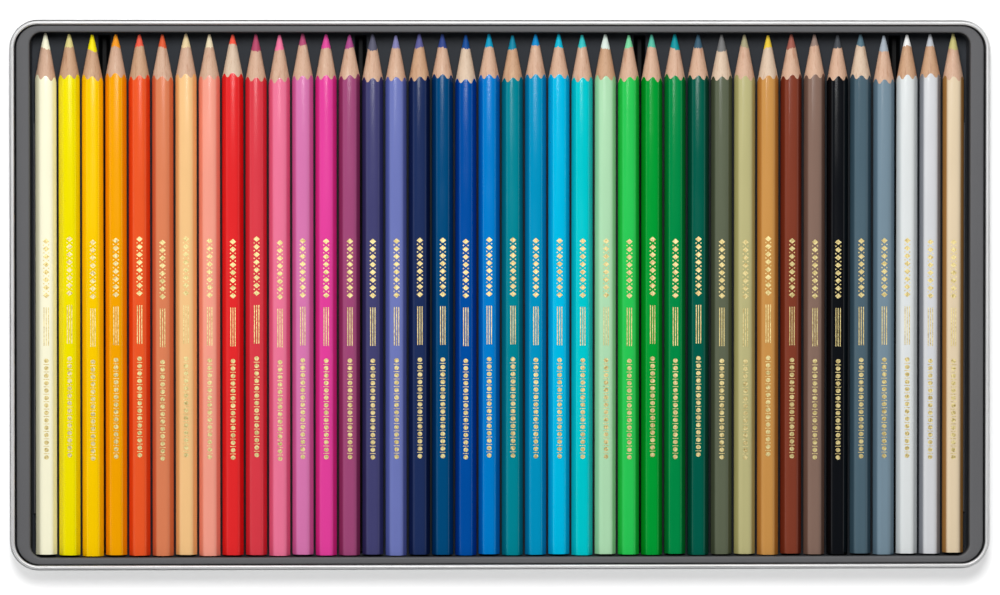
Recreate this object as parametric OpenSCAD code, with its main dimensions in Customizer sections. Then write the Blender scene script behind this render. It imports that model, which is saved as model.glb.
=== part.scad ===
// Flat tin of hexagonal colouring pencils in a formed insert tray, with its loose slip lid
// parked upside down under the base. Millimetres, +Z up. The origin is on the surface that
// the tin stands on, under the middle of its outline. +X runs along the row of pencils and
// +Y points the way the pencils do.

/* [Pencils] */
// Width of a barrel across its flats
flat_d = 6.67; // [6.5:0.01:6.8]
// Width of a barrel over its rounded edges
barrel_d = 7.22; // [7.1:0.01:7.5]
// Space between neighbouring barrels
pencil_gap = 0.63; // [0.4:0.01:0.8]
// Length of an unused pencil, sharpened
pencil_len = 175.5; // [165:0.1:180]
// Diameter of the coloured core
core_d = 3.2; // [2:0.1:4]
// Slope of the sharpened wood, radius over length
wood_slope = 0.183; // [0.15:0.001:0.25]
// The same for the core, which wears to a steeper point
core_slope = 0.25; // [0.15:0.01:0.3]
// Width of the blunt end of the core
point_d = 0.9; // [0.4:0.1:1.4]

/* [Insert tray] */
// Thickness of the formed sheet
sheet_t = 0.5; // [0.4:0.05:0.7]
// Space between the end pencils and the side walls
side_play = 1.7; // [1.6:0.05:3]
// Play along the pencils, both ends together
end_play = 1.2; // [1.2:0.1:4]
// Width of the flange at the short sides
flange_side = 4.5; // [3:0.1:12]
// Width of the flange at the long sides
flange_end = 2.3; // [2:0.1:12]
// Depth of the compartment under the flange
tray_depth = 9; // [8:0.1:12]
// Depth of the channels in the floor
channel_depth = 2.2; // [1:0.1:3]
// Width of a channel at the floor
channel_w = 4.4; // [3:0.1:6]
// Width of a channel at its bottom
channel_foot = 1.4; // [1:0.1:2]
// Width of the low ledge along each short side
ledge_w = 1.8; // [1.4:0.1:2]
// Height of the ledge over the floor
ledge_h = 1.5; // [1:0.1:1.6]
// Where a ledge ends towards the points of the pencils
ledge_front = 58; // [40:1:70]
// Where a ledge ends towards the flat ends of the pencils
ledge_back = -74; // [-78:1:-40]

/* [Tinplate] */
// Thickness of the tinplate
plate_t = 0.25; // [0.2:0.01:0.35]
// Height of the base pan with its bead
base_h = 13.6; // [13:0.1:18]
// Diameter of the rolled bead
bead_d = 1.2; // [1:0.05:2]
// How far the bead leans in over the wall
bead_lean = 0.1; // [0.05:0.01:0.2]
// Groove between the bead and the flange at the short sides
groove_side = 0.7; // [0.3:0.1:2]
// Groove between the bead and the flange at the long sides
groove_end = 0.3; // [0.3:0.1:2]
// Outside radius of the bend at the foot of the base
base_bend = 2; // [1:0.1:3]

/* [Lid] */
// Height of the lid
lid_h = 10; // [8:0.1:12]
// Outside radius of the lid's corners, seen from above
corner_r = 10; // [9.7:0.1:12]
// Outside radius of the bend between skirt and panel
lid_bend = 1.5; // [1:0.1:2.5]
// Height of the folded hem
hem_h = 2.4; // [1.5:0.1:4]
// Width of the lower border round the raised panel
border_w = 5; // [2:0.1:6]
// Height of the raised panel over its border
panel_step = 0.5; // [0.3:0.1:1]
// Space between the bead and the hem of the lid all round
lid_play = 0.3; // [0.2:0.05:0.6]

/* [Hidden] */
$fn = 96;

// Name, barrel colour and core colour, left to right
COLOURS = [
    ["ivory", "#fffbdc", "#fff8cc"],
    ["lemon", "#f4e400", "#f3e070"],
    ["golden_yellow", "#fdcf00", "#fae800"],
    ["orange_yellow", "#f8a800", "#fa9e1e"],
    ["orange_red", "#ee5e36", "#f45e46"],
    ["terracotta", "#dc8058", "#e65e36"],
    ["apricot", "#f4c488", "#f4d080"],
    ["salmon", "#f49e8a", "#f0e0bc"],
    ["scarlet", "#e63a36", "#fa5a44"],
    ["crimson", "#e04454", "#e03a5e"],
    ["pink", "#ec80a0", "#f478a0"],
    ["orchid", "#d676ae", "#ea508a"],
    ["magenta", "#e44a9e", "#e24a9c"],
    ["plum", "#a65280", "#ae4a8a"],
    ["indigo_grey", "#504f76", "#50507a"],
    ["periwinkle", "#7a7cbc", "#7878c8"],
    ["night_blue", "#323c68", "#6c64b2"],
    ["petrol_blue", "#005a86", "#32468a"],
    ["royal_blue", "#0054a4", "#0a50b0"],
    ["azure", "#0082cc", "#00b2da"],
    ["teal", "#009096", "#0086a4"],
    ["cerulean", "#009ac6", "#008cd0"],
    ["cyan", "#00b8e2", "#00bcda"],
    ["turquoise", "#00c6cc", "#32c6c6"],
    ["pale_green", "#aedcb2", "#e0eee4"],
    ["light_green", "#4ecb64", "#7edaa4"],
    ["green", "#00a040", "#5ac2a8"],
    ["emerald", "#009050", "#0096a0"],
    ["viridian", "#28725a", "#3c5e72"],
    ["olive_grey", "#6c7062", "#787878"],
    ["khaki", "#bab480", "#a0a068"],
    ["ochre", "#ce9a5a", "#eecb3c"],
    ["russet", "#8c4a3c", "#a45e50"],
    ["taupe", "#8c766c", "#9a8276"],
    ["black", "#2c2e32", "#4a4e54"],
    ["slate", "#546e7e", "#5a7886"],
    ["steel_blue", "#7a909e", "#86a0b4"],
    ["white", "#dee2e2", "#f6f6f4"],
    ["silver", "#c8cad4", "#c2c6cc"],
    ["gold", "#deca9c", "#bebe5a"],
];
COUNT = len(COLOURS);

rest_gap = 0.2;      // left between pieces that rest on each other
pencil_rest = 0.15;  // the same under a pencil
glue_t = 0.02;       // glue line round a core
point_len = 0.25;    // length over which the core's point is rounded off
end_spread = 0.2;    // how far pencils lie off the middle of their play
corner_shift = 0.4;  // the same for the first and last, clear of the rounded corners
len_spread = 0.2;    // how far sharpened lengths differ from the mean
end_turn = 137;      // steps, in degrees, that spread these over the row
len_turn = 71;
len_phase = 60;
roll_r = 0.6;        // outer radius of the flange's rounded edges
lip_h = 3;           // height of the flange's turned-down lip
floor_r = 0.3;       // inner radius between the tray's walls and floor
opening_r = 4.2;     // corner radius of the tray's opening
channel_end = 0.8;   // from a channel's end to the tray's end walls
channel_steps = [6, 17]; // pencil pitches from the middle of the tray to its channels
over = 1;            // how far a cutter runs past what it cuts

// Plan sizes, worked outwards from the row of pencils
pitch = barrel_d + pencil_gap;
opening_l = COUNT * pitch - pencil_gap + 2 * side_play;
opening_w = pencil_len + end_play;
flange_l = opening_l + 2 * flange_side;
flange_w = opening_w + 2 * flange_end;
mouth_l = flange_l + 2 * groove_side;
mouth_w = flange_w + 2 * groove_end;
rim_w = bead_d - bead_lean + lid_play + 2 * plate_t;
mouth_r = corner_r - rim_w;
flange_r = mouth_r - groove_end;
tin_l = mouth_l + 2 * rim_w;
tin_w = mouth_w + 2 * rim_w;

// Heights, worked upwards from the surface
base_z = panel_step + plate_t + rest_gap;
tray_z = base_z + plate_t + rest_gap;
floor_z = tray_z + sheet_t + channel_depth;
flange_z = floor_z + tray_depth;
axis_z = floor_z + pencil_rest + flat_d / 2;

function number(i) = str(i < 9 ? "0" : "", i + 1);
function pencil_name(i) = str("pencil_", number(i), "_", COLOURS[i][0]);
function pencil_x(i) = (i - (COUNT - 1) / 2) * pitch;
// Flat end and sharpened length of each pencil: they lie a little unevenly
function outermost(i) = i == 0 || i == COUNT - 1;
function end_y(i) = (outermost(i) ? corner_shift : end_spread * sin(i * end_turn)) - pencil_len / 2;
function length_of(i) = pencil_len
    + (outermost(i) ? 0 : len_spread * sin(i * end_turn + len_phase) * cos(i * len_turn));

// Rectangle l by w with corners of radius r, centred
module round_rect(l, w, r) {
    square([l - 2 * r, w], center = true);
    square([l, w - 2 * r], center = true);
    for (x = [-1, 1], y = [-1, 1])
        translate([x * (l / 2 - r), y * (w / 2 - r)])
            circle(r);
}

module plate(l, w, r, t) {
    linear_extrude(t)
        round_rect(l, w, r);
}

// Carries a 2D section round a rounded rectangle. In the section, x is outwards from the
// line l by w with corner radius r, and y is up.
module carry_round(l, w, r) {
    for (side = [0 : 3]) {
        run = (side % 2 == 0 ? l : w) - 2 * r;
        out = (side % 2 == 0 ? w : l) / 2;
        rotate([0, 0, 90 * side]) {
            translate([-run / 2, out, 0])
                rotate([90, 0, 90])
                    linear_extrude(run)
                        children();
            translate([run / 2, out - r, 0])
                rotate_extrude(angle = 90)
                    translate([r, 0])
                        children();
        }
    }
}

// Quarter of a ring round the origin, in the quadrant that sx and sy name
module quarter_ring(r_out, r_in, sx, sy) {
    intersection() {
        difference() {
            circle(r_out);
            circle(r_in);
        }
        translate([sx > 0 ? 0 : -r_out, sy > 0 ? 0 : -r_out])
            square(r_out);
    }
}

// Rectangle between two corners
module block(x0, y0, x1, y1) {
    translate([x0, y0])
        square([x1 - x0, y1 - y0]);
}

module lid() {
    bend_x = plate_t - lid_bend;
    panel_x = bend_x - border_w;
    skirt_l = tin_l - 2 * plate_t;
    skirt_w = tin_w - 2 * plate_t;
    skirt_r = corner_r - plate_t;
    color("gainsboro") {
        carry_round(skirt_l, skirt_w, skirt_r) {
            translate([bend_x, panel_step + lid_bend])
                quarter_ring(lid_bend, lid_bend - plate_t, 1, -1);
            block(0, panel_step + lid_bend, plate_t, lid_h - plate_t);
            block(-plate_t, lid_h - hem_h, 0, lid_h - plate_t);
            intersection() {
                translate([0, lid_h - plate_t])
                    circle(plate_t);
                block(-plate_t, lid_h - plate_t, plate_t, lid_h);
            }
            block(panel_x, panel_step, bend_x, panel_step + plate_t);
            block(panel_x - plate_t, 0, panel_x, panel_step + plate_t);
        }
        inset = plate_t - panel_x;
        plate(skirt_l - 2 * inset, skirt_w - 2 * inset, skirt_r - inset, plate_t);
    }
}

module base_pan() {
    bend_x = plate_t - base_bend;
    color("silver")
        translate([0, 0, base_z]) {
            carry_round(mouth_l, mouth_w, mouth_r) {
                translate([bend_x, base_bend])
                    quarter_ring(base_bend, base_bend - plate_t, 1, -1);
                block(0, base_bend, plate_t, base_h - bead_d / 2);
                translate([bead_d / 2 - bead_lean, base_h - bead_d / 2])
                    circle(d = bead_d);
            }
            plate(mouth_l + 2 * bend_x, mouth_w + 2 * bend_x, mouth_r + bend_x, plate_t);
        }
}

// Cross-section of a channel, grown by t all round
module channel_section(t) {
    lean = (channel_w - channel_foot) / 2 / channel_depth;
    top = channel_w / 2 + t * sqrt(1 + lean * lean);
    deep = channel_depth + t;
    polygon([[-top, 0], [top, 0], [top - lean * deep, -deep], [lean * deep - top, -deep]]);
}

module channels(t) {
    run = opening_w - 2 * channel_end + 2 * t;
    for (step = channel_steps, side = [-1, 1])
        translate([side * step * pitch, run / 2, 0])
            rotate([90, 0, 0])
                linear_extrude(run)
                    channel_section(t);
}

module ledge(side) {
    mirror([side < 0 ? 1 : 0, 0, 0])
        translate([opening_l / 2 - ledge_w, ledge_back, 0])
            cube([ledge_w, ledge_front - ledge_back, ledge_h]);
}

// Hollow that forming leaves under a ledge, through the wall behind it
module under_ledge(side) {
    mirror([side < 0 ? 1 : 0, 0, 0])
        translate([opening_l / 2 - ledge_w + sheet_t, ledge_back + sheet_t, -sheet_t - over])
            cube([ledge_w + over, ledge_front - ledge_back - 2 * sheet_t, ledge_h + over]);
}

module insert_tray() {
    color("dimgray") {
        translate([0, 0, flange_z]) {
            // Flange, its rounded outer edge and its lip
            translate([0, 0, -sheet_t])
                linear_extrude(sheet_t)
                    difference() {
                        round_rect(flange_l - 2 * roll_r, flange_w - 2 * roll_r, flange_r - roll_r);
                        round_rect(opening_l + 2 * roll_r, opening_w + 2 * roll_r, opening_r + roll_r);
                    }
            carry_round(flange_l, flange_w, flange_r) {
                translate([-roll_r, -roll_r])
                    quarter_ring(roll_r, roll_r - sheet_t, 1, 1);
                block(-sheet_t, -lip_h, 0, -roll_r);
            }
        }
        translate([0, 0, floor_z])
            difference() {
                union() {
                    // Wall with its rounded edge above and its bend into the floor
                    carry_round(opening_l, opening_w, opening_r) {
                        translate([roll_r, tray_depth - roll_r])
                            quarter_ring(roll_r, roll_r - sheet_t, -1, 1);
                        block(0, floor_r, sheet_t, tray_depth - roll_r);
                        translate([-floor_r, floor_r])
                            quarter_ring(floor_r + sheet_t, floor_r, 1, -1);
                    }
                    translate([0, 0, -sheet_t])
                        plate(opening_l - 2 * floor_r, opening_w - 2 * floor_r,
                              opening_r - floor_r, sheet_t);
                    channels(sheet_t);
                    ledge(-1);
                    ledge(1);
                }
                channels(0);
                under_ledge(-1);
                under_ledge(1);
            }
    }
}

// Pencil i: a core and a casing round it. Each is drawn standing on its flat end, and then
// laid down with a flat side up.
module pencil(i) {
    len_i = length_of(i);
    core_r = core_d / 2;
    bore_r = core_r + glue_t;
    corner = flat_d / 2 / cos(30);
    core_end = len_i - point_len - (core_r - point_d / 2) / core_slope;
    wood_end = function (r) core_end - (r - core_r) / wood_slope;
    translate([pencil_x(i), end_y(i), axis_z])
        rotate([-90, 0, 0]) {
            color(COLOURS[i][2])
                rotate_extrude()
                    polygon([[0, 0], [core_r, 0], [core_r, core_end],
                             [point_d / 2, len_i - point_len], [point_d / 4, len_i], [0, len_i]]);
            color(COLOURS[i][1])
                intersection() {
                    cylinder(h = len_i, r = corner, $fn = 6);
                    rotate_extrude()
                        polygon([[bore_r, 0], [barrel_d / 2, 0],
                                 [barrel_d / 2, wood_end(barrel_d / 2)],
                                 [bore_r, wood_end(bore_r)]]);
                }
        }
}

lid();
base_pan();
insert_tray();
for (i = [0 : COUNT - 1])
    pencil(i);
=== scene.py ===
"""Looks for a flat tin of hexagonal coloured pencils in a formed insert tray.

Metres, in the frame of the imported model: +X along the row of pencils, +Y the way they
point, +Z up from the surface that the tin stands on. The object's sizes are written in
millimetres and scaled when a mesh is made; those of the stage are in metres.
"""
import math
import random

import bpy
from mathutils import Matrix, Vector
from mathutils.geometry import delaunay_2d_cdt


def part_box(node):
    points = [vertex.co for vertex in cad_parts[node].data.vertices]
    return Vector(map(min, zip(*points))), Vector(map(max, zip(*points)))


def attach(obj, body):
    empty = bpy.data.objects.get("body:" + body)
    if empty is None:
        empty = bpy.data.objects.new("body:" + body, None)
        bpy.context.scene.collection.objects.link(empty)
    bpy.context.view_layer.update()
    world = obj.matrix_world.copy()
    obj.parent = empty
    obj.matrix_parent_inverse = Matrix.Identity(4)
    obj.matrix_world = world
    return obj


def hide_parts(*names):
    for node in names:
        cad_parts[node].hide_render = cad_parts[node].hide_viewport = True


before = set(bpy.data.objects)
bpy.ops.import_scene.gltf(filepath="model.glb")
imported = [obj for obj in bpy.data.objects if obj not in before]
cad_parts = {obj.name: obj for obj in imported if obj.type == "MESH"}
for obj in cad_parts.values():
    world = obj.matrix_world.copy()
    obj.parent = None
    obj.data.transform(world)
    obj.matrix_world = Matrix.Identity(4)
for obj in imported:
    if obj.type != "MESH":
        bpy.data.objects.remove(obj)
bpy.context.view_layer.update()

MM = 0.001
random.seed(40)


def box_mm(node):
    low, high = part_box(node)
    return low / MM, high / MM


# Sheet metal, in millimetres
PLATE_T = 0.25        # tinplate
BEAD_D = 1.2          # rolled bead of the base pan
BEAD_LEAN = 0.1       # how far it leans in over the wall
CURL_END = -105       # degrees at which the bead's curl stops
BASE_BEND = 2.0       # outside radius at the foot of the base pan
BASE_RINGS = (5, 9)   # heights of the rings on the base pan's wall, over its foot
FLOOR_RING = 1.5      # from that bend to the innermost ring of the base pan
LID_BEND = 1.5        # outside radius at the foot of the lid
CORNER_R = 10.0       # outside radius of the lid's corners, seen from above
HEM_H = 2.4           # folded hem of the lid
SKIRT_RINGS = (2.5, 1.2, 0.5)  # depths under the lid's rim of the rings outside
HEM_RINGS = (0.6, 2.1)         # the same on the hem
WALL_RINGS = (2.25, 3.2)       # and inside, where the hem ends
BORDER_W = 5.0        # lower border round the lid's raised panel
BORDER_RINGS = (1.2, 0.6)      # rings on it, from the panel and from the bend
PANEL_STEP = 0.5      # height of that panel
STEP_IN = 0.15        # how far in the middle of the step up to it lies
PANEL_RING = 2.0      # from the border to the innermost ring of the lid

# Formed sheet, in millimetres
SHEET_T = 0.5
GROOVE_END = 0.3      # between the bead and the flange at the long sides
OPENING_R = 4.2       # corners of the tray's opening
FOOT_R = 3.4          # corners of its floor
FLANGE_SIDE = 4.5     # flange at the short sides
FLANGE_END = 2.3      # flange at the long sides
ROLL_R = 0.6          # rounded edges of the flange
WALL_LEAN = (0.5, 0.1)  # draft of the tray's walls, at the short and the long sides
LIP_H = 3.0           # turned-down lip
FLOOR_R = 0.3         # bend between the tray's walls and floor
TRAY_DEPTH = 9.0      # floor below the flange
CHANNEL_DEPTH = 2.2
CHANNEL_W = 4.4       # a channel at the floor
CHANNEL_FOOT = 1.4    # and at its bottom
CHANNEL_END = 0.8     # from a channel's end to the tray's end walls
CHANNEL_SLOPE = 1.0   # length over which it ends
CHANNEL_STEPS = (6, 17)  # pencil pitches from the middle to each channel
LEDGE_W = 1.8
LEDGE_H = 1.5
LEDGE_Y = (-74.0, 58.0)      # where a ledge starts and ends
LEDGE_SLOPE = (-0.15, 0.35)  # where its long side rises, from its edge inwards to outwards
LEDGE_ENDS = (-0.2, 0.4)     # the same at its ends
FAR_SIDE_GROW = 0.6   # share of the sheet's thickness that widens a channel underneath

# Grid lines of the tray's floor, in millimetres from what they follow
GRID_STEP = 8
GRID_MARGIN = 0.3
GRID_LEAST = 0.05
CHANNEL_LINES = (0, 0.35, 0.7, 0.95, 1.2, 1.45, 1.7, 1.95, 2.2, 2.7)
CHANNEL_END_LINES = (-2.4, -1.2, -0.9, -0.6, -0.3, 0, 0.3)
LEDGE_LINES = (-0.3, -0.05, 0.1, 0.3, 0.55, 0.9)
LEDGE_END_LINES = (-0.8, -0.4, -0.1, 0.1, 0.4, 0.8)

# Pencils, in millimetres
WOOD_SLOPE = 0.19     # sharpened wood, radius over length
CORE_SLOPE = 0.25     # the same for the core
CORE_R = 1.6
GLUE_T = 0.02         # between the core and its bore
POINT_R = 0.45        # blunt end of the core
POINT_LEN = 0.25      # length over which it is rounded off
TIP_RINGS = ((0.85, 0.14), (0.6, 0.05), (0.3, 0.02))  # radius as a share, and way back from the end
LACQUER_T = 0.06
SIDE_SHADE_POWER = 1.3          # power that turns a lacquer's colour into the painted shade of its side facets
METALLIC_SIDE_SHADE_POWER = 3.6  # the same for a lacquer with metal pigment
METALLIC = ("silver", "gold")
EDGE_R = 1.55         # rounding of the barrel's long edges
ROLL_MAX = 2.5        # degrees by which a barrel may lie off the level
CHIP = 0.22           # unevenness of the lacquer's front edge
COVER_WOBBLE = 0.1    # the same of the wood's front edge, as a share of the core's radius
FOIL_SINK = 0.01      # how far the gilt border reaches into the lacquer
FOIL_T = 0.012        # and stands over it
FOIL_SHIFT = 0.7      # how far it may lie off its place along the pencil

# Name, lacquer, core and wood of each pencil, left to right
PENCILS = (
    ("ivory", "#fffbdc", "#fffbdd", "pinkish"),
    ("lemon", "#f4e400", "#e2d68c", "tan"),
    ("golden_yellow", "#fdcc00", "#fae800", "tan"),
    ("orange_yellow", "#f5a400", "#fa9e1e", "pinkish"),
    ("orange_red", "#ec5828", "#f45e46", "tan"),
    ("terracotta", "#dc8058", "#e65e36", "pinkish"),
    ("apricot", "#f4c488", "#ecd4a4", "pinkish"),
    ("salmon", "#f49e8a", "#f0e0bc", "pinkish"),
    ("scarlet", "#e42a2c", "#fa5a44", "cream"),
    ("crimson", "#da3c48", "#b8486a", "pinkish"),
    ("pink", "#ec7698", "#f478a0", "pinkish"),
    ("orchid", "#d676ae", "#b84c76", "pinkish"),
    ("magenta", "#e2409a", "#e24a9c", "pinkish"),
    ("plum", "#9e4876", "#ae4a8a", "pinkish"),
    ("indigo_grey", "#434270", "#5c5c70", "pinkish"),
    ("periwinkle", "#6e78b8", "#8482b4", "pinkish"),
    ("night_blue", "#1e2e59", "#5e5e98", "tan"),
    ("petrol_blue", "#004878", "#32468a", "pinkish"),
    ("royal_blue", "#004c9e", "#0a4c96", "cream"),
    ("azure", "#007ac8", "#009cc4", "pinkish"),
    ("teal", "#008392", "#0086a4", "tan"),
    ("cerulean", "#0091be", "#008cd0", "pinkish"),
    ("cyan", "#00b8e2", "#00bcda", "pinkish"),
    ("turquoise", "#00c6cc", "#32c6c6", "pinkish"),
    ("pale_green", "#aedcb2", "#e0eee4", "tan"),
    ("light_green", "#2ac454", "#7edaa4", "pinkish"),
    ("green", "#009a34", "#5ac2a8", "pinkish"),
    ("emerald", "#008844", "#0096a0", "pinkish"),
    ("viridian", "#025a48", "#3c5e72", "pinkish"),
    ("olive_grey", "#5e6551", "#787878", "cream"),
    ("khaki", "#bab480", "#aca480", "pinkish"),
    ("ochre", "#c8904c", "#eecb3c", "cream"),
    ("russet", "#803c2a", "#a45e50", "pinkish"),
    ("taupe", "#846a5e", "#9a8276", "pinkish"),
    ("black", "#101216", "#4a4e54", "pinkish"),
    ("slate", "#4e6470", "#5a7886", "cream"),
    ("steel_blue", "#768c9a", "#a8b2bc", "pinkish"),
    ("white", "#dee2e2", "#f6f6f4", "tan"),
    ("silver", "#d4d5d8", "#c2c6cc", "tan"),
    ("gold", "#e2ceae", "#c8c07c", "pinkish"),
)
WOODS = {  # pale line, main tone and darker line of the grain
    "pinkish": ("#e2c6ae", "#d1aa8f", "#bd8c70"),
    "tan": ("#d8b690", "#c89e7c", "#b08060"),
    "cream": ("#e6d4be", "#d7bea5", "#c29e80"),
}


# Colours and nodes

def linear(code):
    """A colour written as #rrggbb, for a shader's socket."""
    parts = [int(code[k:k + 2], 16) / 255 for k in (1, 3, 5)]
    return [c / 12.92 if c <= 0.04045 else ((c + 0.055) / 1.055) ** 2.4 for c in parts] + [1.0]


def new_material(name):
    mat = bpy.data.materials.new(name)
    mat.use_nodes = True
    tree = mat.node_tree
    shader = tree.nodes["Principled BSDF"]
    return mat, tree, shader


def add(tree, kind, **values):
    node = tree.nodes.new(kind)
    for key, value in values.items():
        if key in node.inputs:
            node.inputs[key].default_value = value
        else:
            setattr(node, key, value)
    return node


def stretched(tree, scale):
    """Object coordinates, scaled along each axis."""
    coords = add(tree, "ShaderNodeTexCoord")
    mapping = add(tree, "ShaderNodeMapping")
    mapping.inputs["Scale"].default_value = scale
    tree.links.new(coords.outputs["Object"], mapping.inputs["Vector"])
    return mapping.outputs["Vector"]


def noise_of(tree, vector, detail=3.0, roughness=0.5):
    node = add(tree, "ShaderNodeTexNoise")
    node.inputs["Scale"].default_value = 1.0
    node.inputs["Detail"].default_value = detail
    node.inputs["Roughness"].default_value = roughness
    tree.links.new(vector, node.inputs["Vector"])
    return node.outputs["Fac"]


def ramp(tree, factor, stops):
    """Colour ramp over a factor: stops are (position, colour)."""
    node = add(tree, "ShaderNodeValToRGB")
    elements = node.color_ramp.elements
    while len(elements) < len(stops):
        elements.new(0.5)
    for element, (position, colour) in zip(elements, stops):
        element.position = position
        element.color = colour
    tree.links.new(factor, node.inputs["Fac"])
    return node.outputs["Color"]


def spread(tree, factor, low, high):
    """The factor's middle range carried to low..high."""
    node = add(tree, "ShaderNodeMapRange")
    for key, number in (("From Min", 0.3), ("From Max", 0.7), ("To Min", low), ("To Max", high)):
        node.inputs[key].default_value = number
    tree.links.new(factor, node.inputs["Value"])
    return node.outputs["Result"]


def bump(tree, height, distance, strength):
    node = add(tree, "ShaderNodeBump")
    node.inputs["Distance"].default_value = distance
    node.inputs["Strength"].default_value = strength
    tree.links.new(height, node.inputs["Height"])
    return node.outputs["Normal"]


def carried(tree, value, low, high, to_low, to_high):
    """A value carried smoothly from low..high to to_low..to_high."""
    node = add(tree, "ShaderNodeMapRange", interpolation_type="SMOOTHSTEP")
    for key, number in (("From Min", low), ("From Max", high), ("To Min", to_low), ("To Max", to_high)):
        node.inputs[key].default_value = number
    tree.links.new(value, node.inputs["Value"])
    return node.outputs["Result"]


def toned(colour, factor):
    return [min(1.0, c * factor) for c in colour[:3]] + [1.0]


def height_mm(tree):
    """Height over the surface that the tin stands on, in millimetres."""
    split = add(tree, "ShaderNodeSeparateXYZ")
    tree.links.new(stretched(tree, (1 / MM, 1 / MM, 1 / MM)), split.inputs["Vector"])
    return split.outputs["Z"]


def multiplied(tree, first, second, share=1.0):
    """The first colour times the second, of which only a share may count."""
    node = add(tree, "ShaderNodeMix", data_type="RGBA", blend_type="MULTIPLY")
    node.inputs["Factor"].default_value = share
    tree.links.new(first, node.inputs["A"])
    tree.links.new(second, node.inputs["B"])
    return node.outputs["Result"]


def patches(tree, factor, grey):
    """White with patches of a grey."""
    return ramp(tree, factor, ((0.3, [grey] * 3 + [1]), (0.7, [1, 1, 1, 1])))


# Materials

SIDE_SHADE_SPAN = (1.3, 0.15)  # millimetres under the top over which painted shade sets in on a lacquer's side facets
RIM_FADE = 0.4          # millimetres over which the tin's rim, with its painted highlight, turns into its wall


def lacquer_material(name, code, top):
    """Gloss lacquer, with painted shade on the facets beside the one on top."""
    mat, tree, shader = new_material(name + "_lacquer")
    colour = linear(code)
    # painted shade: a darker copy of the lacquer's colour for the side facets
    deep = [c ** (METALLIC_SIDE_SHADE_POWER if name in METALLIC else SIDE_SHADE_POWER) for c in colour]
    share = carried(tree, height_mm(tree), top - SIDE_SHADE_SPAN[0], top - SIDE_SHADE_SPAN[1], 0, 1)
    cloud = noise_of(tree, stretched(tree, (160, 40, 160)))
    paint = multiplied(tree, ramp(tree, share, ((0, deep), (1, colour))), patches(tree, cloud, 0.96))
    tree.links.new(paint, shader.inputs["Base Color"])
    peel = noise_of(tree, stretched(tree, (900, 220, 900)), detail=2.0)
    tree.links.new(bump(tree, peel, 0.00001, 0.3), shader.inputs["Normal"])
    tree.links.new(spread(tree, cloud, 0.1, 0.17), shader.inputs["Roughness"])
    shader.inputs["Specular IOR Level"].default_value = 0.3
    return mat


def core_material(name, code):
    """Waxy pigment with a fine grain."""
    mat, tree, shader = new_material(name + "_pigment")
    colour = linear(code)
    grain = noise_of(tree, stretched(tree, (2600, 1600, 2600)), detail=4.0)
    tree.links.new(ramp(tree, grain, ((0.3, toned(colour, 0.95)), (0.72, toned(colour, 1.03)))),
                   shader.inputs["Base Color"])
    tree.links.new(bump(tree, grain, 0.00004, 0.6), shader.inputs["Normal"])
    shader.inputs["Roughness"].default_value = 0.6
    shader.inputs["Specular IOR Level"].default_value = 0.25
    return mat


def wood_material(tone):
    """Cut cedar: rings that run along the pencil, and finer fibres."""
    mat, tree, shader = new_material(tone + "_cedar")
    pale, main, dark = (linear(code) for code in WOODS[tone])
    rings = noise_of(tree, stretched(tree, (900, 26, 700)), roughness=0.6)
    fibres = noise_of(tree, stretched(tree, (5200, 240, 5200)), detail=2.0)
    stripes = ramp(tree, rings, ((0.28, dark), (0.45, main), (0.6, main), (0.75, pale)))
    hairs = ramp(tree, fibres, ((0.3, [0.82, 0.78, 0.74, 1]), (0.5, [1, 1, 1, 1])))
    tree.links.new(multiplied(tree, stripes, hairs, 0.6), shader.inputs["Base Color"])
    tree.links.new(bump(tree, fibres, 0.00005, 0.5), shader.inputs["Normal"])
    shader.inputs["Roughness"].default_value = 0.62
    return mat


def foil_material():
    mat, tree, shader = new_material("gold_foil")
    specks = noise_of(tree, stretched(tree, (2400, 1500, 2400)))
    tree.links.new(ramp(tree, specks, ((0.3, linear("#d2b468")), (0.6, linear("#f2e2a4")))),
                   shader.inputs["Base Color"])
    tree.links.new(spread(tree, specks, 0.28, 0.5), shader.inputs["Roughness"])
    tree.links.new(bump(tree, specks, 0.00002, 0.5), shader.inputs["Normal"])
    shader.inputs["Metallic"].default_value = 0.85
    return mat


def tinplate_material(name, top, rim, pale):
    """Silvery tin, less metallic on the rim, whose depth below the top and colour are given; the rim's paler
    colour is a painted highlight.
    """
    mat, tree, shader = new_material(name)
    drawn = noise_of(tree, stretched(tree, (30, 30, 600)), detail=5.0)
    marks = noise_of(tree, stretched(tree, (60, 900, 60)), roughness=0.7)
    share = carried(tree, height_mm(tree), top - rim - RIM_FADE, top - rim, 0, 1)
    # painted highlight: the rim gets a paler colour than the wall
    tin = ramp(tree, share, ((0, linear("#bcbec0")), (1, linear(pale))))
    tree.links.new(multiplied(tree, tin, patches(tree, drawn, 0.9)), shader.inputs["Base Color"])
    tree.links.new(carried(tree, share, 0, 1, 0.9, 0.5), shader.inputs["Metallic"])
    tree.links.new(spread(tree, marks, 0.46, 0.56), shader.inputs["Roughness"])
    tree.links.new(bump(tree, marks, 0.00002, 0.25), shader.inputs["Normal"])
    return mat


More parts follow.
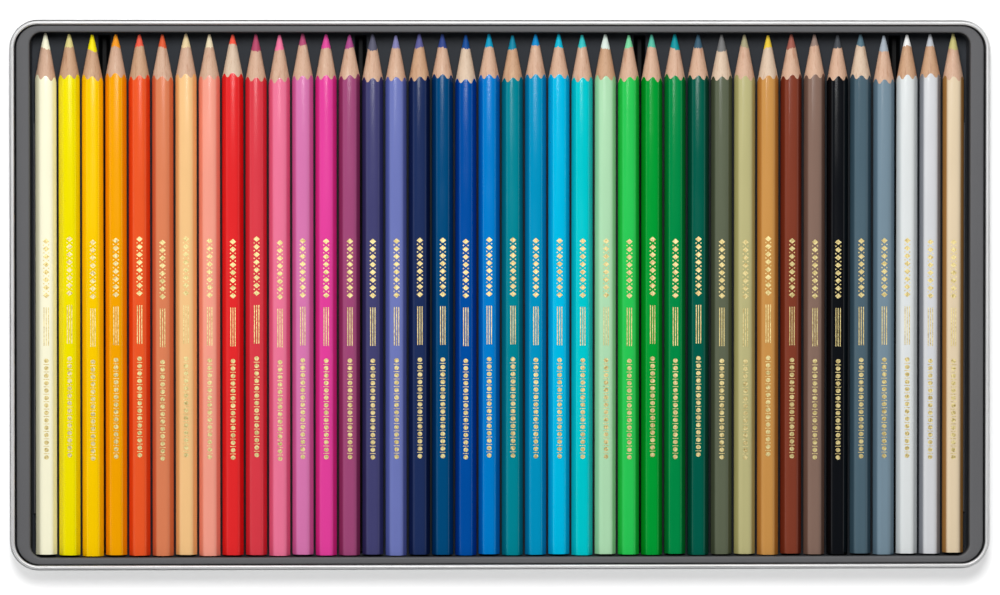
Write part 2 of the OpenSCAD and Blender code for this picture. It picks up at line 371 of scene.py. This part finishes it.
def plastic_material(top):
    """Formed sheet under its flange at the given height, with painted light and shade by height: darker
    below the flange, but lighter on the ledges.
    """
    mat, tree, shader = new_material("grey_formed_plastic")
    clouds = noise_of(tree, stretched(tree, (22, 22, 22)), detail=4.0)
    grain = noise_of(tree, stretched(tree, (2600, 2600, 2600)))
    deep = top - TRAY_DEPTH - CHANNEL_DEPTH
    share = add(tree, "ShaderNodeMapRange")
    share.inputs["From Min"].default_value = deep
    share.inputs["From Max"].default_value = top
    tree.links.new(height_mm(tree), share.inputs["Value"])
    at_floor = CHANNEL_DEPTH / (top - deep)
    at_ledge = (CHANNEL_DEPTH + LEDGE_H) / (top - deep)
    # painted shade: near black in the channels, dark on the walls, and dark on the floor with a bluish
    # painted reflection
    channel, bottom, floor, ledge, wall, flange = (
        linear(code) for code in ("#050506", "#0a0b0c", "#2c3036", "#58585a", "#323438", "#626264"))
    # painted light: the ledges lighter than the walls round them; the flange's grey is partly the sheet's
    # own and partly painted sheen
    depth = ramp(tree, share.outputs["Result"], (
        (0.0, channel), (at_floor * 0.85, bottom), (at_floor, floor),
        (at_ledge * 0.9, ledge), (at_ledge * 1.04, ledge), (at_ledge * 1.15, wall),
        (0.7, wall), (0.97, flange)))
    tree.links.new(multiplied(tree, depth, patches(tree, clouds, 0.94)), shader.inputs["Base Color"])
    tree.links.new(spread(tree, clouds, 0.42, 0.52), shader.inputs["Roughness"])
    tree.links.new(bump(tree, grain, 0.00003, 0.4), shader.inputs["Normal"])
    shader.inputs["Specular IOR Level"].default_value = 0.12
    return mat


# Meshes

def make_piece(name, points, faces, materials, slots=None, smooth_angle=35):
    """A mesh piece from points in millimetres."""
    mesh = bpy.data.meshes.new(name)
    mesh.from_pydata([tuple(c * MM for c in p) for p in points], [], faces)
    for mat in materials:
        mesh.materials.append(mat)
    if slots is not None:
        mesh.polygons.foreach_set("material_index", slots)
    mesh.shade_smooth()
    mesh.set_sharp_from_angle(angle=math.radians(smooth_angle))
    mesh.validate()
    mesh.update()
    piece = bpy.data.objects.new(name, mesh)
    bpy.context.scene.collection.objects.link(piece)
    return piece


def dress(piece, body, node):
    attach(piece, body)
    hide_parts(node)


CORNER_STEPS = 14
SIDE_STEPS = (30, 16)


def outline(l, w, r):
    """Rounded rectangle, anticlockwise from the right end of its lower side."""
    points = []
    for corner in range(4):
        sx = 1 if corner in (0, 1) else -1
        sy = 1 if corner in (1, 2) else -1
        cx = sx * (l / 2 - r)
        cy = sy * (w / 2 - r)
        for k in range(CORNER_STEPS + 1):
            a = math.radians(90 * (corner - 1 + k / CORNER_STEPS))
            points.append((cx + r * math.cos(a), cy + r * math.sin(a)))
        nx = 1 if (corner + 1) % 4 in (0, 1) else -1
        ny = 1 if (corner + 1) % 4 in (1, 2) else -1
        start = points[-1]
        a = math.radians(90 * corner)
        end = (nx * (l / 2 - r) + r * math.cos(a), ny * (w / 2 - r) + r * math.sin(a))
        steps = SIDE_STEPS[(corner + 1) % 2]
        for k in range(1, steps):
            t = k / steps
            points.append((start[0] + (end[0] - start[0]) * t, start[1] + (end[1] - start[1]) * t))
    return points


def arc(cx, cz, r, start, end, steps):
    """Points of an arc in a section: x outwards, z up, angles in degrees."""
    return [(cx + r * math.cos(math.radians(start + (end - start) * k / steps)),
             cz + r * math.sin(math.radians(start + (end - start) * k / steps)))
            for k in range(steps + 1)]


def ring(size, d, z):
    """Outline of the given size, grown by d, at height z."""
    l, w, r = size
    return [(x, y, z) for x, y in outline(l + 2 * d, w + 2 * d, max(r + d, 0.2))]


def skin(rings, closed=False):
    """Faces that join rings of equal length one after another."""
    n = len(rings[0])
    last = len(rings) if closed else len(rings) - 1
    faces = []
    for i in range(last):
        a = i * n
        b = (i + 1) % len(rings) * n
        for j in range(n):
            k = (j + 1) % n
            faces.append((a + j, a + k, b + k, b + j))
    return faces


def pan(name, size, section, material):
    """A drawn pan: section runs from under the floor, round the rim, to the floor inside."""
    rings = [ring(size, d, z) for d, z in section]
    n = len(rings[0])
    points = [p for one in rings for p in one]
    faces = [tuple(reversed(range(n)))]
    faces += skin(rings)
    faces.append(tuple(range((len(rings) - 1) * n, len(rings) * n)))
    return make_piece(name, points, faces, [material])


def lid_piece(material):
    low, high = box_mm("lid")
    span = high - low
    size = (span.x - 2 * PLATE_T, span.y - 2 * PLATE_T, CORNER_R - PLATE_T)
    top = high.z
    bend = PLATE_T - LID_BEND
    bend_z = PANEL_STEP + LID_BEND
    panel = bend - BORDER_W
    step = panel - STEP_IN
    soft = PANEL_STEP / 2
    inmost = panel - PANEL_RING
    on_border = panel + BORDER_RINGS[0]
    section = [(inmost, 0)]
    section += arc(step - soft, soft, soft, -90, 0, 4)
    section += arc(step + soft, soft, soft, 180, 90, 4)
    section += [(on_border, PANEL_STEP), (bend - BORDER_RINGS[1], PANEL_STEP)]
    section += arc(bend, bend_z, LID_BEND, -90, 0, 8)
    section += [(PLATE_T, top - down) for down in SKIRT_RINGS]
    section += arc(0, top - PLATE_T, PLATE_T, 0, 180, 8)
    section += [(-PLATE_T, top - down) for down in HEM_RINGS]
    section += arc(-PLATE_T / 2, top - HEM_H + PLATE_T / 2, PLATE_T / 2, 180, 360, 4)
    section += [(0, top - down) for down in WALL_RINGS]
    section += [(0, bend_z)]
    section += arc(bend, bend_z, LID_BEND - PLATE_T, 0, -90, 8)[1:]
    section += [(on_border, PANEL_STEP + PLATE_T)]
    section += arc(step + soft, soft + PLATE_T, soft, 90, 180, 4)
    section += arc(step - soft, soft + PLATE_T, soft, 0, -90, 4)
    section += [(inmost, PLATE_T)]
    return pan("lid_shell", size, section, material)


def mouth_size():
    """Base pan's wall, inner face, from the base pan's outermost line, the bead."""
    low, high = box_mm("base_pan")
    out = BEAD_D - BEAD_LEAN
    lid_low, lid_high = box_mm("lid")
    rim = (lid_high.x - lid_low.x - (high.x - low.x)) / 2 + out
    return (high.x - low.x - 2 * out, high.y - low.y - 2 * out, CORNER_R - rim)


def base_piece(material):
    low, high = box_mm("base_pan")
    foot = low.z
    bend = PLATE_T - BASE_BEND
    bead = (BEAD_D / 2 - BEAD_LEAN, high.z - BEAD_D / 2)
    outer = BEAD_D / 2
    inner = outer - PLATE_T
    from_wall = math.degrees(math.acos((bead[0] - PLATE_T) / inner))
    from_mouth = math.degrees(math.acos(bead[0] / outer))
    section = [(bend - FLOOR_RING, foot)]
    section += arc(bend, foot + BASE_BEND, BASE_BEND, -90, 0, 9)
    section += [(PLATE_T, foot + up) for up in BASE_RINGS]
    section += arc(*bead, inner, 180 + from_wall, CURL_END, 26)
    section += arc(*bead, outer, CURL_END, 180 + from_mouth, 34)
    section += [(0, foot + up) for up in reversed(BASE_RINGS)]
    section += arc(bend, foot + BASE_BEND, BASE_BEND - PLATE_T, 0, -90, 9)
    section += [(bend - FLOOR_RING, foot + PLATE_T)]
    return pan("base_shell", mouth_size(), section, material)


def blend_step(x, low, high):
    """0 below low, 1 above high, and a smooth rise between."""
    t = min(1.0, max(0.0, (x - low) / (high - low)))
    return t * t * (3 - 2 * t)


def channel_drop(x, y, places, half_run, grow):
    """How far the floor drops into a channel at (x, y); grow is for the far side of the sheet."""
    lean = (CHANNEL_W - CHANNEL_FOOT) / 2
    away = min(abs(x - c) for c in places)
    across = 1 - blend_step(away, CHANNEL_FOOT / 2 + grow, CHANNEL_FOOT / 2 + grow + lean)
    along = 1 - blend_step(abs(y), half_run - CHANNEL_SLOPE + grow, half_run + grow)
    return CHANNEL_DEPTH * min(across, along)


def ledge_rise(x, y, half_l, grow):
    """Height of the ledge at (x, y), with the sheet's far side set in by grow."""
    edge = half_l - LEDGE_W + grow
    across = blend_step(abs(x), edge + LEDGE_SLOPE[0], edge + LEDGE_SLOPE[1])
    start, end = LEDGE_Y[0] + grow, LEDGE_Y[1] - grow
    along = blend_step(y, start + LEDGE_ENDS[0], start + LEDGE_ENDS[1])
    along *= 1 - blend_step(y, end - LEDGE_ENDS[1], end - LEDGE_ENDS[0])
    return LEDGE_H * across * along


def lines(marks, half):
    """Sorted grid lines over -half..half: the marks, and others where these lie far apart."""
    inside = sorted(m for m in marks if abs(m) < half - GRID_MARGIN)
    found = [-half + GRID_MARGIN]
    for m in inside + [half - GRID_MARGIN]:
        gap = m - found[-1]
        if gap < GRID_LEAST:
            continue
        count = max(1, math.ceil(gap / GRID_STEP))
        start = found[-1]
        found += [start + gap * k / count for k in range(1, count + 1)]
    return found


def tray_piece(material, pitch):
    low, high = box_mm("insert_tray")
    span = high - low
    flange = (span.x, span.y, mouth_size()[2] - GROOVE_END)
    opening = (span.x - 2 * FLANGE_SIDE, span.y - 2 * FLANGE_END, OPENING_R)
    foot = (opening[0] - 2 * WALL_LEAN[0], opening[1] - 2 * WALL_LEAN[1], FOOT_R)
    top = high.z
    floor = top - TRAY_DEPTH
    under = SHEET_T
    half_l = opening[0] / 2
    half_run = opening[1] / 2 - CHANNEL_END
    places = [side * step * pitch for step in CHANNEL_STEPS for side in (-1, 1)]

    # Section in three parts: wall outside, flange underside and lip, then all of the shown side
    rings = [ring(foot, -FLOOR_R, floor - under)]
    rings += [ring(foot, d, z) for d, z in arc(-FLOOR_R, floor + FLOOR_R, FLOOR_R + under, -90, 0, 4)[1:]]
    rings += [ring(opening, d, z) for d, z in arc(ROLL_R, top - ROLL_R, ROLL_R - under, 180, 90, 4)]
    rings += [ring(flange, d, z) for d, z in arc(-ROLL_R, top - ROLL_R, ROLL_R - under, 90, 0, 4)]
    rings += [ring(flange, -under, top - LIP_H), ring(flange, 0, top - LIP_H)]
    rings += [ring(flange, 0, top - LIP_H / 2)]
    rings += [ring(flange, d, z) for d, z in arc(-ROLL_R, top - ROLL_R, ROLL_R, 0, 90, 8)]
    rings += [ring(opening, d, z) for d, z in arc(ROLL_R, top - ROLL_R, ROLL_R, 90, 180, 8)]
    rings += [ring(foot, d, z) for d, z in arc(-FLOOR_R, floor + FLOOR_R, FLOOR_R, 0, -90, 4)]
    n = len(rings[0])
    points = [p for one in rings for p in one]
    faces = skin(rings)

    # Floor: a triangulation of grid lines that follow the channels and ledges
    marks_x = [0.0]
    for c in places:
        marks_x += [c + side * o for side in (-1, 1) for o in CHANNEL_LINES]
    marks_x += [side * (half_l - LEDGE_W + o) for side in (-1, 1) for o in LEDGE_LINES]
    marks_y = [side * (half_run + o) for side in (-1, 1) for o in CHANNEL_END_LINES]
    marks_y += [end + o for end in LEDGE_Y for o in LEDGE_END_LINES]
    edge = [(p[0], p[1]) for p in rings[-1]]
    corner = (foot[0] / 2 - FOOT_R, foot[1] / 2 - FOOT_R)
    grid = {}
    columns = lines(marks_x, foot[0] / 2 - FLOOR_R)
    rows = lines(marks_y, foot[1] / 2 - FLOOR_R)
    for i, x in enumerate(columns):
        for j, y in enumerate(rows):
            past = (abs(x) - corner[0], abs(y) - corner[1])
            if min(past) > 0 and math.hypot(*past) > FOOT_R - FLOOR_R - GRID_MARGIN:
                continue
            grid[i, j] = (n + len(grid), (x, y))
    # The outermost columns stay whole, so that no long triangle cuts into a ledge
    ends = (0, len(columns) - 1)
    seams = [(grid[i, j][0], grid[i, j + 1][0]) for i in ends for j in range(len(rows) - 1)
             if (i, j) in grid and (i, j + 1) in grid]
    coords = [Vector(p) for p in edge + [place for _, place in grid.values()]]
    found = delaunay_2d_cdt(coords, seams, [tuple(range(n))], 1, 1e-4)
    verts, tris, origins = found[0], found[2], found[3]
    for surface, first, flip in ((0, 0, True), (1, (len(rings) - 1) * n, False)):
        index = []
        for v, came in zip(verts, origins):
            on_edge = [k for k in came if k < n]
            if on_edge:
                index.append(first + on_edge[0])
                continue
            grow = 0 if surface else under
            level = floor if surface else floor - under
            drop = channel_drop(v.x, v.y, places, half_run, grow * FAR_SIDE_GROW)
            rise = ledge_rise(v.x, v.y, half_l, grow)
            index.append(len(points))
            points.append((v.x, v.y, level - drop + rise))
        for tri in tris:
            face = tuple(index[k] for k in tri)
            faces.append(tuple(reversed(face)) if flip else face)
    return make_piece("tray_sheet", points, faces, [material], smooth_angle=50)


# Pencils

FLAT_STEPS = 9        # along each flat side of a barrel
ROUND_STEPS = 4       # round each of its long edges
CONE_STEPS = 7        # along the sharpened wood
CORE_SIDES = 40
CORE_STEPS = 5        # along the sharpened core


def turned(points, angle):
    """Points (x, z) turned about the pencil's axis."""
    c, s = math.cos(angle), math.sin(angle)
    return [(x * c - z * s, x * s + z * c) for x, z in points]


def hexagon(apothem, r):
    """Rounded hexagon with a flat side up, as (x, z), the same number of points for any size."""
    reach = (apothem - r) / math.cos(math.radians(30))

    def at(corner, degrees):
        """The point of one corner's rounding at an angle."""
        c, a = math.radians(corner), math.radians(degrees)
        return (reach * math.cos(c) + r * math.cos(a), reach * math.sin(c) + r * math.sin(a))

    points = []
    for corner in range(0, 360, 60):
        points += [at(corner, corner - 30 + 60 * j / ROUND_STEPS) for j in range(ROUND_STEPS + 1)]
        start, end = points[-1], at(corner + 60, corner + 30)
        for j in range(1, FLAT_STEPS):
            t = j / FLAT_STEPS
            points.append((start[0] + (end[0] - start[0]) * t, start[1] + (end[1] - start[1]) * t))
    return points


def wobble(angle, phases, size):
    """Smooth unevenness round the pencil, from 0 to size."""
    waves = sum(math.sin(k * angle + p) for k, p in zip((2, 5, 9, 14), phases))
    return size * (0.5 + waves / 8)


class Point:
    """The sharpened end of one pencil: a cone whose axis is a little off the barrel's."""

    def __init__(self, tip):
        turn = random.uniform(0, 2 * math.pi)
        off = random.uniform(0.02, 0.12)
        self.axis = (off * math.cos(turn), off * math.sin(turn))
        self.wood = WOOD_SLOPE * random.uniform(0.96, 1.05)
        self.core = CORE_SLOPE * random.uniform(0.92, 1.1)
        self.shoulder = tip - POINT_LEN - (CORE_R - POINT_R) / self.core
        self.cover = random.uniform(0.9, 1.06)
        self.phases = [random.uniform(0, 2 * math.pi) for _ in range(4)]

    def radius(self, x, z):
        return math.hypot(x - self.axis[0], z - self.axis[1])

    def reach(self, r):
        """How far forward the cone has radius r."""
        return self.shoulder + (CORE_R - r) / (self.core if r < CORE_R else self.wood)

    def at(self, x, z, r):
        """The cone's point of radius r on the side of (x, z), as (x, y, z)."""
        own = self.radius(x, z)
        return (self.axis[0] + (x - self.axis[0]) * r / own, self.reach(r),
                self.axis[1] + (z - self.axis[1]) * r / own)

    def on_wood(self, x, z, r):
        """The same on the wood, whose thin front edge lies on the core."""
        px, _, pz = self.at(x, z, r)
        return (px, self.shoulder + (CORE_R - r) / self.wood, pz)


def casing_piece(name, centre, start, apothem, roll, cone, materials):
    """Wooden casing with its lacquer: one closed tube round the core's bore."""
    skin_points, near, wood_points = (turned(hexagon(apothem - t, EDGE_R - t), roll)
                                      for t in (0, LACQUER_T / 3, LACQUER_T))
    columns = []
    for (px, pz), (qx, qz), (nx, nz) in zip(skin_points, wood_points, near):
        angle = math.atan2(pz, px)
        bore = (CORE_R * math.cos(angle), CORE_R * math.sin(angle))
        chip = wobble(angle, cone.phases, CHIP)
        front = cone.reach(cone.radius(px, pz)) - chip
        r_wood = cone.radius(qx, qz)
        own = cone.radius(*bore)
        r_core = own * (cone.cover + wobble(angle, cone.phases, COVER_WOBBLE) - COVER_WOBBLE / 2)
        mouth = cone.on_wood(*bore, r_core)
        column = [
            (bore[0], start + 0.02, bore[1]),
            (qx, start, qz),
            (nx, start + 0.03, nz),
            (px, start + 0.15, pz),
            (px, front - 0.2, pz),
            (nx, front - 0.04, nz),
            (qx, front, qz),
        ]
        column += [cone.on_wood(qx, qz, r_wood + (r_core - r_wood) * k / CONE_STEPS)
                   for k in range(CONE_STEPS)]
        column += [mouth, (bore[0], min(cone.reach(own), mouth[1]) - 0.1, bore[1])]
        columns.append(column)
    rings = list(zip(*columns))
    points = [(x + centre[0], y, z + centre[1]) for one in rings for x, y, z in one]
    faces = [tuple(reversed(f)) for f in skin(rings, closed=True)]
    n = len(columns)
    lacquered = range(1 * n, 6 * n)
    slots = [0 if i in lacquered else 1 for i in range(len(faces))]
    return make_piece(name + "_casing", points, faces, materials, slots)


def core_piece(name, centre, start, end, cone, material):
    """The coloured core, up to its blunt point."""
    core_r = CORE_R - GLUE_T
    columns = []
    for k in range(CORE_SIDES):
        angle = 2 * math.pi * k / CORE_SIDES
        x, z = core_r * math.cos(angle), core_r * math.sin(angle)
        shoulder = cone.radius(x, z)
        tip_r = POINT_R + 0.05
        column = [(x * 0.95, start + 0.04, z * 0.95), (x, start + 0.1, z)]
        column += [cone.at(x, z, shoulder + (tip_r - shoulder) * j / CORE_STEPS)
                   for j in range(CORE_STEPS + 1)]
        for share, back in TIP_RINGS:
            px, _, pz = cone.at(x, z, POINT_R * share)
            column.append((px, end - back, pz))
        columns.append(column)
    rings = list(zip(*columns))
    points = [(x + centre[0], y, z + centre[1]) for one in rings for x, y, z in one]
    faces = [tuple(reversed(f)) for f in skin(rings)]
    faces.append(tuple(range(CORE_SIDES)))
    faces.append(tuple(reversed(range((len(rings) - 1) * CORE_SIDES, len(rings) * CORE_SIDES))))
    return make_piece(name + "_core", points, faces, [material])


def disc(x, y, rx, ry, sides):
    return [(x + rx * math.cos(2 * math.pi * k / sides), y + ry * math.sin(2 * math.pi * k / sides))
            for k in range(sides)]


def bar(x, y, wide, long):
    return [(x - wide / 2, y - long / 2), (x + wide / 2, y - long / 2),
            (x + wide / 2, y + long / 2), (x - wide / 2, y + long / 2)]


LOZENGES = 8
LOZENGE_TOP = 18.2    # along the facet, of the first one's middle
LOZENGE_PITCH = 2.6
RULES = (-10.5, 13.0)  # middle and length of the three fine rules
BEADS = 14
BEAD_TOP = -22.0
BEAD_PITCH = 2.5


def ornament():
    """A plain gilt border, as outlines (x across the facet, y along it)."""
    shapes = []
    for k in range(LOZENGES):
        y = LOZENGE_TOP - LOZENGE_PITCH * k
        shapes.append([(0, y - 0.95), (1.1, y), (0, y + 0.95), (-1.1, y)])
        if k < LOZENGES - 1:
            shapes += [disc(x, y - LOZENGE_PITCH / 2, 0.24, 0.24, 10) for x in (-0.8, 0.8)]
    for x in (-0.75, 0, 0.75):
        shapes.append(bar(x, RULES[0], 0.3, RULES[1]))
    for k in range(BEADS):
        y = BEAD_TOP - BEAD_PITCH * k
        shapes.append(disc(0, y, 0.8, 0.75, 14))
        if k < BEADS - 1:
            shapes.append(bar(0, y - BEAD_PITCH / 2, 1.9, 0.26))
    return shapes


def foil_piece(name, centre, apothem, roll, shift, material):
    """The gilt border, stamped on the upper facet."""
    points, faces = [], []
    for shape in ornament():
        n = len(shape)
        first = len(points)
        for level in (apothem - FOIL_SINK, apothem + FOIL_T):
            for x, y in shape:
                (px, pz), = turned([(x, level)], roll)
                points.append((centre[0] + px, y + shift, centre[1] + pz))
        faces.append(tuple(reversed(range(first, first + n))))
        faces.append(tuple(range(first + n, first + 2 * n)))
        faces += [(first + k, first + (k + 1) % n, first + n + (k + 1) % n, first + n + k) for k in range(n)]
    return make_piece(name + "_foil", points, faces, [material])


def pencil_pieces(number, row, woods, foil):
    colour, lacquer_code, core_code, tone = row
    name = f"pencil_{number:02d}_{colour}"
    low, high = box_mm(name)
    centre = ((low.x + high.x) / 2, (low.z + high.z) / 2)
    apothem = (high.z - low.z) / 2
    cone = Point(high.y)
    shift = random.uniform(-FOIL_SHIFT, FOIL_SHIFT)
    roll = math.radians(random.uniform(-ROLL_MAX, ROLL_MAX))
    lacquer = lacquer_material(colour, lacquer_code, high.z)
    casing = casing_piece(name, centre, low.y, apothem, roll, cone, [lacquer, woods[tone]])
    core = core_piece(name, centre, low.y, high.y, cone, core_material(colour, core_code))
    gilt = foil_piece(name, centre, apothem, roll, shift, foil)
    for piece in (casing, core, gilt):
        dress(piece, f"pencil_{number:02d}", name)


# The object

# the last colour given is the painted highlight on each tin's rim
lid = lid_piece(tinplate_material("lid_tin", box_mm("lid")[1].z, 2 * PLATE_T, "#fafafa"))
dress(lid, "lid", "lid")
base = base_piece(tinplate_material("base_tin", box_mm("base_pan")[1].z, BEAD_D, "#dedede"))
dress(base, "base_pan", "base_pan")
first_x = (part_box("pencil_01_ivory")[0].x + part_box("pencil_01_ivory")[1].x) / 2 / MM
row_pitch = -2 * first_x / (len(PENCILS) - 1)
tray = tray_piece(plastic_material(box_mm("insert_tray")[1].z), row_pitch)
dress(tray, "insert_tray", "insert_tray")
cedar = {tone: wood_material(tone) for tone in WOODS}
gilding = foil_material()
for number, pencil in enumerate(PENCILS, start=1):
    pencil_pieces(number, pencil, cedar, gilding)


# Stage: pale floor, soft light, and the camera almost straight above

AMBIENT = 0.7         # the world's radiance low on its bright side
FAR_SIDE = 0.22       # the same on the far side, as a share
CEILING = 0.1         # and overhead
CEILING_SHOWN = 0.02  # overhead, as gloss shows it
SIDE_FALL = (-0.7, 0.7)      # direction's X over which the bright side turns into the far one
CEILING_RISE = (0.8, 0.97)   # direction's Z over which the ceiling starts
SHOWN_RISE = (0.2, 0.6)      # the same, as gloss shows it
KEY_SHARE = 0.75      # the lamp's light on a level surface
KEY_DISTANCE = 1.3
KEY_SIZE = 0.57
KEY_FROM = Vector((-0.03, 0.40, 0.91)).normalized()
FLOOR_HALF = 4.0
FLOOR_HELP = 0.4      # what the floor adds to its own look, so that it is white where it is lit
FLOOR_FAR = 1.0       # the same far from the object, where little light reaches
FLOOR_REACH = (0.3, 1.1)  # distance over which it grows
SENSOR = 36.0         # width in millimetres
EYE = Vector((-0.0753, 0.05, 2.11))
AIM = (-0.00035, -0.0009)  # on the plane of the pencils' upper side
SEEN_WIDTH = 0.3369   # metres across the picture, on that plane


def seen_directly(tree):
    """1 for camera, glossy and transmission rays, else 0."""
    path = add(tree, "ShaderNodeLightPath")
    total = None
    for output in ("Is Camera Ray", "Is Glossy Ray", "Is Transmission Ray"):
        if total is None:
            total = path.outputs[output]
            continue
        plus = add(tree, "ShaderNodeMath", operation="ADD", use_clamp=True)
        tree.links.new(total, plus.inputs[0])
        tree.links.new(path.outputs[output], plus.inputs[1])
        total = plus.outputs[0]
    return total


def product(tree, first, second):
    node = add(tree, "ShaderNodeMath", operation="MULTIPLY")
    tree.links.new(first, node.inputs[0])
    tree.links.new(second, node.inputs[1])
    return node.outputs[0]


def make_world():
    """A studio that is dark overhead, bright low on the left and dim on the right."""
    world = bpy.data.worlds.new("studio")
    bpy.context.scene.world = world
    world.use_nodes = True
    tree = world.node_tree
    background = tree.nodes["Background"]
    background.inputs["Color"].default_value = (1, 1, 1, 1)
    split = add(tree, "ShaderNodeSeparateXYZ")
    tree.links.new(add(tree, "ShaderNodeTexCoord").outputs["Generated"], split.inputs["Vector"])
    side = carried(tree, split.outputs["X"], *SIDE_FALL, 1.0, FAR_SIDE)
    lit = product(tree, side, carried(tree, split.outputs["Z"], *CEILING_RISE, 1.0, CEILING))
    shown = carried(tree, split.outputs["Z"], *SHOWN_RISE, 1.0, CEILING_SHOWN)
    scale = add(tree, "ShaderNodeMath", operation="MULTIPLY")
    scale.inputs[1].default_value = AMBIENT
    tree.links.new(lit, scale.inputs[0])
    strength = add(tree, "ShaderNodeMix", data_type="FLOAT")
    tree.links.new(seen_directly(tree), strength.inputs["Factor"])
    tree.links.new(scale.outputs[0], strength.inputs["A"])
    tree.links.new(shown, strength.inputs["B"])
    tree.links.new(strength.outputs["Result"], background.inputs["Strength"])


def make_floor():
    mesh = bpy.data.meshes.new("floor")
    corners = [(x * FLOOR_HALF, y * FLOOR_HALF, 0) for x, y in ((-1, -1), (1, -1), (1, 1), (-1, 1))]
    mesh.from_pydata(corners, [], [(0, 1, 2, 3)])
    mat, tree, shader = new_material("pale_floor")
    shader.inputs["Base Color"].default_value = (0.93, 0.93, 0.93, 1)
    shader.inputs["Roughness"].default_value = 1.0
    shader.inputs["Specular IOR Level"].default_value = 0.0
    glow = add(tree, "ShaderNodeEmission")
    away = add(tree, "ShaderNodeVectorMath", operation="LENGTH")
    tree.links.new(add(tree, "ShaderNodeTexCoord").outputs["Object"], away.inputs[0])
    own = carried(tree, away.outputs["Value"], *FLOOR_REACH, FLOOR_HELP, FLOOR_FAR)
    tree.links.new(product(tree, seen_directly(tree), own), glow.inputs["Strength"])
    both = add(tree, "ShaderNodeAddShader")
    tree.links.new(shader.outputs["BSDF"], both.inputs[0])
    tree.links.new(glow.outputs["Emission"], both.inputs[1])
    tree.links.new(both.outputs["Shader"], tree.nodes["Material Output"].inputs["Surface"])
    mesh.materials.append(mat)
    floor = bpy.data.objects.new("floor", mesh)
    bpy.context.scene.collection.objects.link(floor)


def make_key():
    light = bpy.data.lights.new("key", "AREA")
    light.shape = "DISK"
    light.size = KEY_SIZE
    light.energy = KEY_SHARE * math.pi ** 2 * KEY_DISTANCE ** 2 / KEY_FROM.z
    lamp = bpy.data.objects.new("key", light)
    lamp.location = KEY_FROM * KEY_DISTANCE
    lamp.rotation_euler = KEY_FROM.to_track_quat("Z", "Y").to_euler()
    bpy.context.scene.collection.objects.link(lamp)


def make_camera():
    aim = Vector((*AIM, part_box("pencil_01_ivory")[1].z))
    data = bpy.data.cameras.new("camera")
    data.sensor_width = SENSOR
    data.lens = SENSOR * (EYE - aim).length / SEEN_WIDTH
    data.clip_start, data.clip_end = 0.05, 20
    camera = bpy.data.objects.new("camera", data)
    camera.location = EYE
    away = aim - EYE
    camera.rotation_euler = (math.atan2(away.y, -away.z), math.atan2(-away.x, -away.z), 0)
    bpy.context.scene.collection.objects.link(camera)
    bpy.context.scene.camera = camera


make_world()
make_floor()
make_key()
make_camera()
bpy.context.scene.view_settings.view_transform = "Standard"
